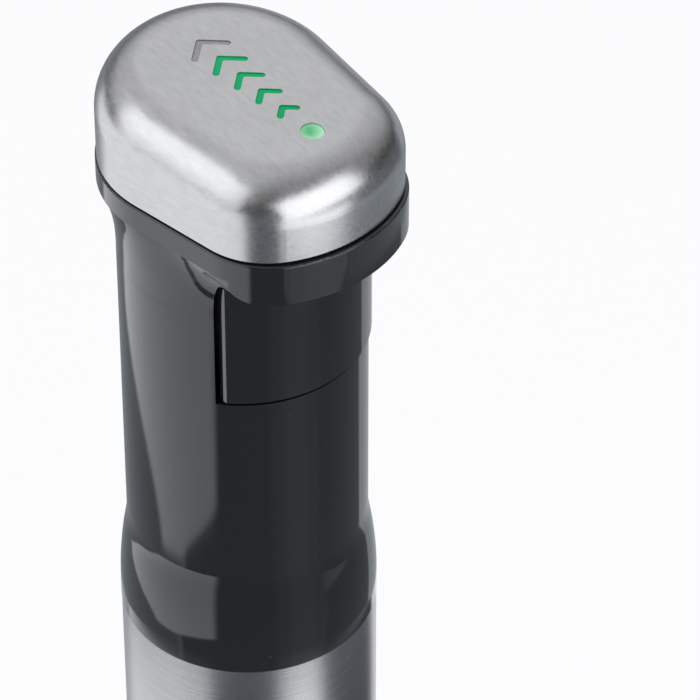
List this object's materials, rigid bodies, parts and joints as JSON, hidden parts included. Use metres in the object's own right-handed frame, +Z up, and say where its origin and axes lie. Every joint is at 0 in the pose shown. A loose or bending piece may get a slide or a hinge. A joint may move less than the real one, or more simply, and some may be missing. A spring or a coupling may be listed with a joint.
{
  "type": "hand blender",
  "caption": "Stick hand blender: steel-capped motor handle with a thumb lever and speed lights, steel sleeve, release buttons and a pull-off blending foot with a bell guard and blade.",
  "frame": {"origin": "on the stick's axis, at the level of the bell guard's lower rim, where the blender stands", "axes": "+Z up along the stick towards the steel cap, -Y towards the thumb lever and the ready light, +X to the right seen from the lever side"},
  "size_m": [0.07, 0.0766, 0.3993],
  "materials": {
    "cap_steel": "satin brushed stainless steel",
    "sleeve_steel": "stainless steel brushed round the stick",
    "foot_steel": "polished and finely brushed stainless steel",
    "gloss_black": "high gloss black moulding",
    "soft_black": "matt black rubber",
    "green_light": "lit green lens",
    "ready_green": "lit pale green lens",
    "grey_lens": "unlit grey lens",
    "clear_guide": "clear light guide",
    "board_green": "circuit board with solder mask",
    "led_white": "white lamp chips",
    "inner_plastic": "glass filled grey plastic",
    "screw_steel": "zinc plated steel",
    "core_steel": "laminated electrical steel",
    "copper": "enamelled copper windings",
    "carbon": "carbon brush",
    "bearing_steel": "ground bearing steel",
    "bronze": "sintered bronze",
    "sink_aluminium": "extruded aluminium",
    "part_blue": "blue potted capacitor",
    "blade_steel": "ground stainless blade"
  },
  "bodies": {
    "handle": {"top_cap": "cap_steel", "speed_lights": "green_light", "top_speed_light": "grey_lens", "ready_light": "ready_green", "light_guide": "clear_guide", "indicator_leds": "led_white", "indicator_board": "board_green", "board_screws": "screw_steel", "head_deck": "inner_plastic", "deck_screws": "screw_steel", "cap_gasket": "soft_black", "rim_collar": "gloss_black", "grip_shell": "gloss_black", "lever_pin": "screw_steel", "lever_spring": "screw_steel", "inner_frame": "inner_plastic", "speed_switch": "carbon", "control_board": "board_green", "heat_sink": "sink_aluminium", "capacitor": "part_blue", "lower_bracket": "sink_aluminium", "upper_bracket": "sink_aluminium", "lower_bearing": "bearing_steel", "upper_bearing": "bearing_steel", "motor_frame": "inner_plastic", "motor_screws": "screw_steel", "motor_damper": "soft_black", "stator": "core_steel", "field_coils": "copper", "carbon_brushes": "carbon", "brush_holders": "bronze", "brush_springs": "screw_steel", "steel_sleeve": "sleeve_steel", "release_collar": "gloss_black", "housing_screws": "screw_steel", "shaft_seal": "soft_black", "button_spring_left": "screw_steel", "button_spring_right": "screw_steel"},
    "lever": {"thumb_lever": "gloss_black"},
    "plunger": {"switch_plunger": "inner_plastic"},
    "rotor": {"motor_shaft": "bearing_steel", "armature_core": "core_steel", "armature_windings": "copper", "commutator": "copper", "cooling_fan": "inner_plastic", "drive_dog": "inner_plastic"},
    "left_button": {"release_button_left": "gloss_black"},
    "right_button": {"release_button_right": "gloss_black"},
    "foot": {"foot_collar": "gloss_black", "foot_spigot": "gloss_black", "foot_shoulder": "foot_steel", "foot_tube": "foot_steel", "bell_guard": "foot_steel", "foot_bushes": "bronze", "foot_seal": "soft_black"},
    "blade_shaft": {"drive_shaft": "bearing_steel", "drive_cup": "inner_plastic", "blade": "blade_steel", "blade_spacer": "bearing_steel", "blade_nut": "blade_steel"}
  },
  "joints": [
    {"name": "lever_press", "type": "hinge", "parent": "handle", "child": "lever", "pos_m": [0, -0.022, 0.3189], "axis": [-1, 0, 0], "range_deg": [0, 6], "stiffness_Nm_per_rad": 3, "springref_deg": -3.44, "deforming": ["lever_spring"]},
    {"name": "plunger_slide", "type": "slide", "parent": "handle", "child": "plunger", "axis": [0, 1, 0], "range_m": [0, 0.0033]},
    {"name": "rotor_spin", "type": "hinge", "parent": "handle", "child": "rotor", "pos_m": [0, 0, 0.22], "axis": [0, 0, 1], "continuous": true},
    {"name": "left_button_press", "type": "slide", "parent": "handle", "child": "left_button", "axis": [1, 0, 0], "range_m": [0, 0.0025], "stiffness_N_per_m": 900, "springref_m": -0.001, "deforming": ["button_spring_left"]},
    {"name": "right_button_press", "type": "slide", "parent": "handle", "child": "right_button", "axis": [-1, 0, 0], "range_m": [0, 0.0025], "stiffness_N_per_m": 900, "springref_m": -0.001, "deforming": ["button_spring_right"]},
    {"name": "foot_pull", "type": "slide", "parent": "handle", "child": "foot", "axis": [0, 0, -1], "range_m": [0, 0.03]},
    {"name": "blade_spin", "type": "hinge", "parent": "foot", "child": "blade_shaft", "pos_m": [0, 0, 0.08], "axis": [0, 0, 1], "continuous": true}
  ],
  "couplings": [
    {"joint": "plunger_slide", "follows": "lever_press", "m_per_rad": 0.03},
    {"joint": "blade_spin", "follows": "rotor_spin", "ratio": 1}
  ]
}
